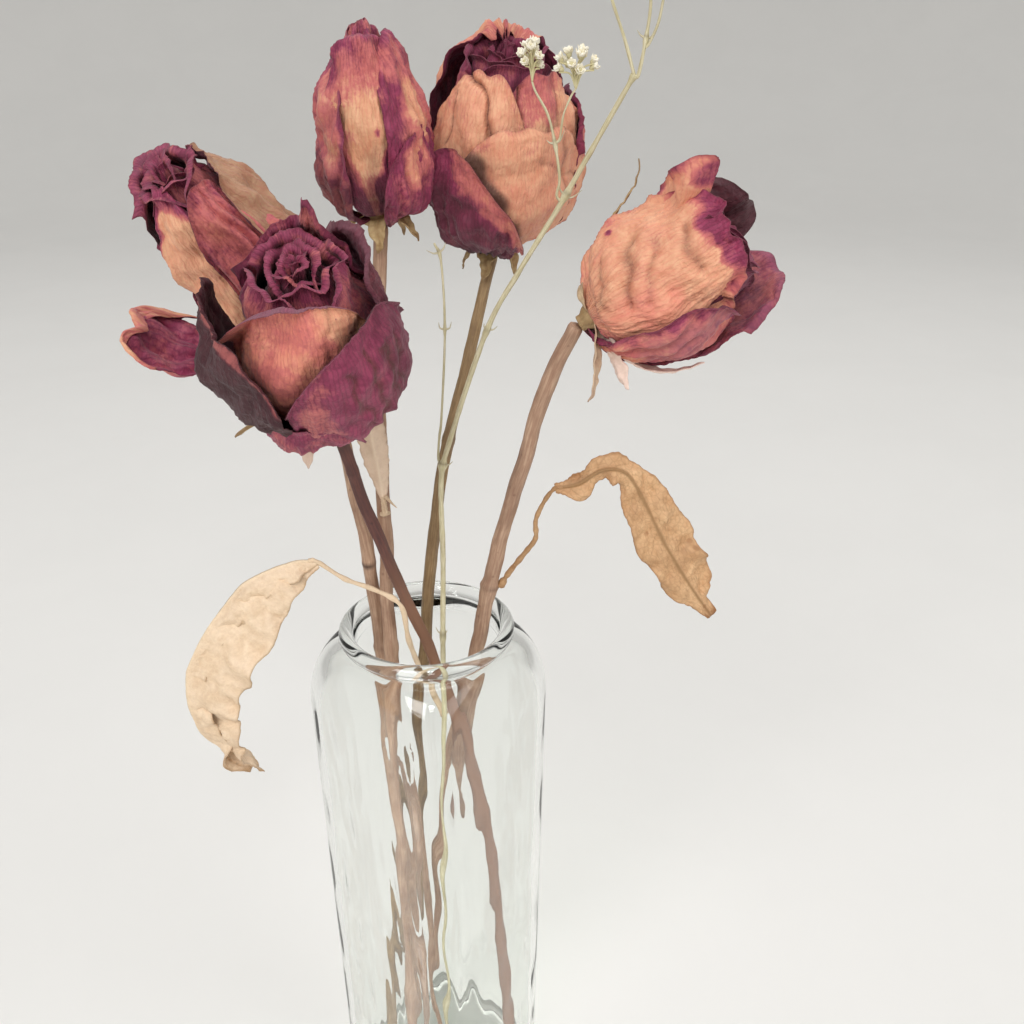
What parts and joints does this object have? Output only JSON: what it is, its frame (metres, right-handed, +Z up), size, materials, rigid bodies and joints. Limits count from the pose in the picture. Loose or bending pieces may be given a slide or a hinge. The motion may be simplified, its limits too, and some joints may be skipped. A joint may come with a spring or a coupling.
{
  "type": "wilted bouquet in a glass vase",
  "caption": "Dried roses on woody stems with curled leaves and a thin sprig of small white flowers, standing in a clear square glass vase with a round beaded mouth.",
  "frame": {"origin": "middle of the vase's foot, on the surface that it stands on", "axes": "+Z up along the vase, -Y towards the bouquet's front, and the vase's corners on X and Y"},
  "size_m": [0.1826, 0.1262, 0.4386],
  "materials": {
    "clear_glass": "clear, glossy, faint grey",
    "petal_tan": "dry, finely veined and crinkled, tan to salmon with pink edges",
    "petal_magenta": "dry, crinkled, magenta with darker edges",
    "petal_dark": "dry, crinkled, dark burgundy",
    "calyx": "dry, matt, yellow green to beige",
    "stem_brown": "dry, ridged, pinkish brown",
    "stem_dark": "dry, ridged, dark maroon brown",
    "stem_olive": "dry, ridged, olive brown",
    "sprig_stem": "dry, smooth, straw green",
    "sprig_flowers": "dry, matt, cream white",
    "leaf_pale": "dry, veined, pale beige",
    "leaf_tan": "dry, veined, tan with olive streaks"
  },
  "bodies": {
    "root": {"flower_fork": "sprig_stem", "flower_twig": "sprig_stem", "flowers_left": "sprig_flowers", "flowers_right": "sprig_flowers", "front_rose_calyx": "calyx", "front_rose_heart": "petal_magenta", "front_rose_petal_back": "petal_magenta", "front_rose_petal_bowl": "petal_tan", "front_rose_petal_lip": "petal_dark", "front_rose_petal_pleated": "petal_magenta", "front_rose_petal_shadow": "petal_dark", "front_rose_petal_under": "petal_magenta", "front_rose_stem": "stem_dark", "leaf_stub": "leaf_pale", "left_leaf": "leaf_pale", "left_rose_calyx": "calyx", "left_rose_heart": "petal_magenta", "left_rose_petal_curled": "petal_magenta", "left_rose_petal_far_side": "petal_magenta", "left_rose_petal_grey_back": "petal_tan", "left_rose_petal_pink_fold": "petal_magenta", "left_rose_petal_strip": "petal_tan", "left_rose_stem": "stem_brown", "open_rose_calyx": "calyx", "open_rose_heart": "petal_magenta", "open_rose_petal_arch": "petal_tan", "open_rose_petal_folded": "petal_tan", "open_rose_petal_front_left": "petal_tan", "open_rose_petal_front_right": "petal_tan", "open_rose_petal_hanging": "petal_magenta", "open_rose_petal_right_side": "petal_magenta", "open_rose_stem": "stem_olive", "right_leaf": "leaf_tan", "right_rose_calyx": "calyx", "right_rose_heart": "petal_magenta", "right_rose_petal_broad": "petal_tan", "right_rose_petal_dark_end": "petal_dark", "right_rose_petal_frill": "petal_magenta", "right_rose_petal_mauve": "petal_magenta", "right_rose_petal_top": "petal_magenta", "right_rose_stem": "stem_brown", "side_shoot": "sprig_stem", "sprig_stem": "sprig_stem", "tall_rose_calyx": "calyx", "tall_rose_heart": "petal_magenta", "tall_rose_petal_centre": "petal_tan", "tall_rose_petal_far_side": "petal_magenta", "tall_rose_petal_left_side": "petal_magenta", "tall_rose_petal_patch": "petal_magenta", "tall_rose_petal_right_side": "petal_magenta", "tall_rose_stem": "stem_brown", "top_flowers_left": "sprig_flowers", "top_flowers_middle": "sprig_flowers", "top_flowers_right": "sprig_flowers", "top_twig_left": "sprig_stem", "top_twig_middle": "sprig_stem", "top_twig_right": "sprig_stem", "vase": "clear_glass"}
  },
  "joints": []
}
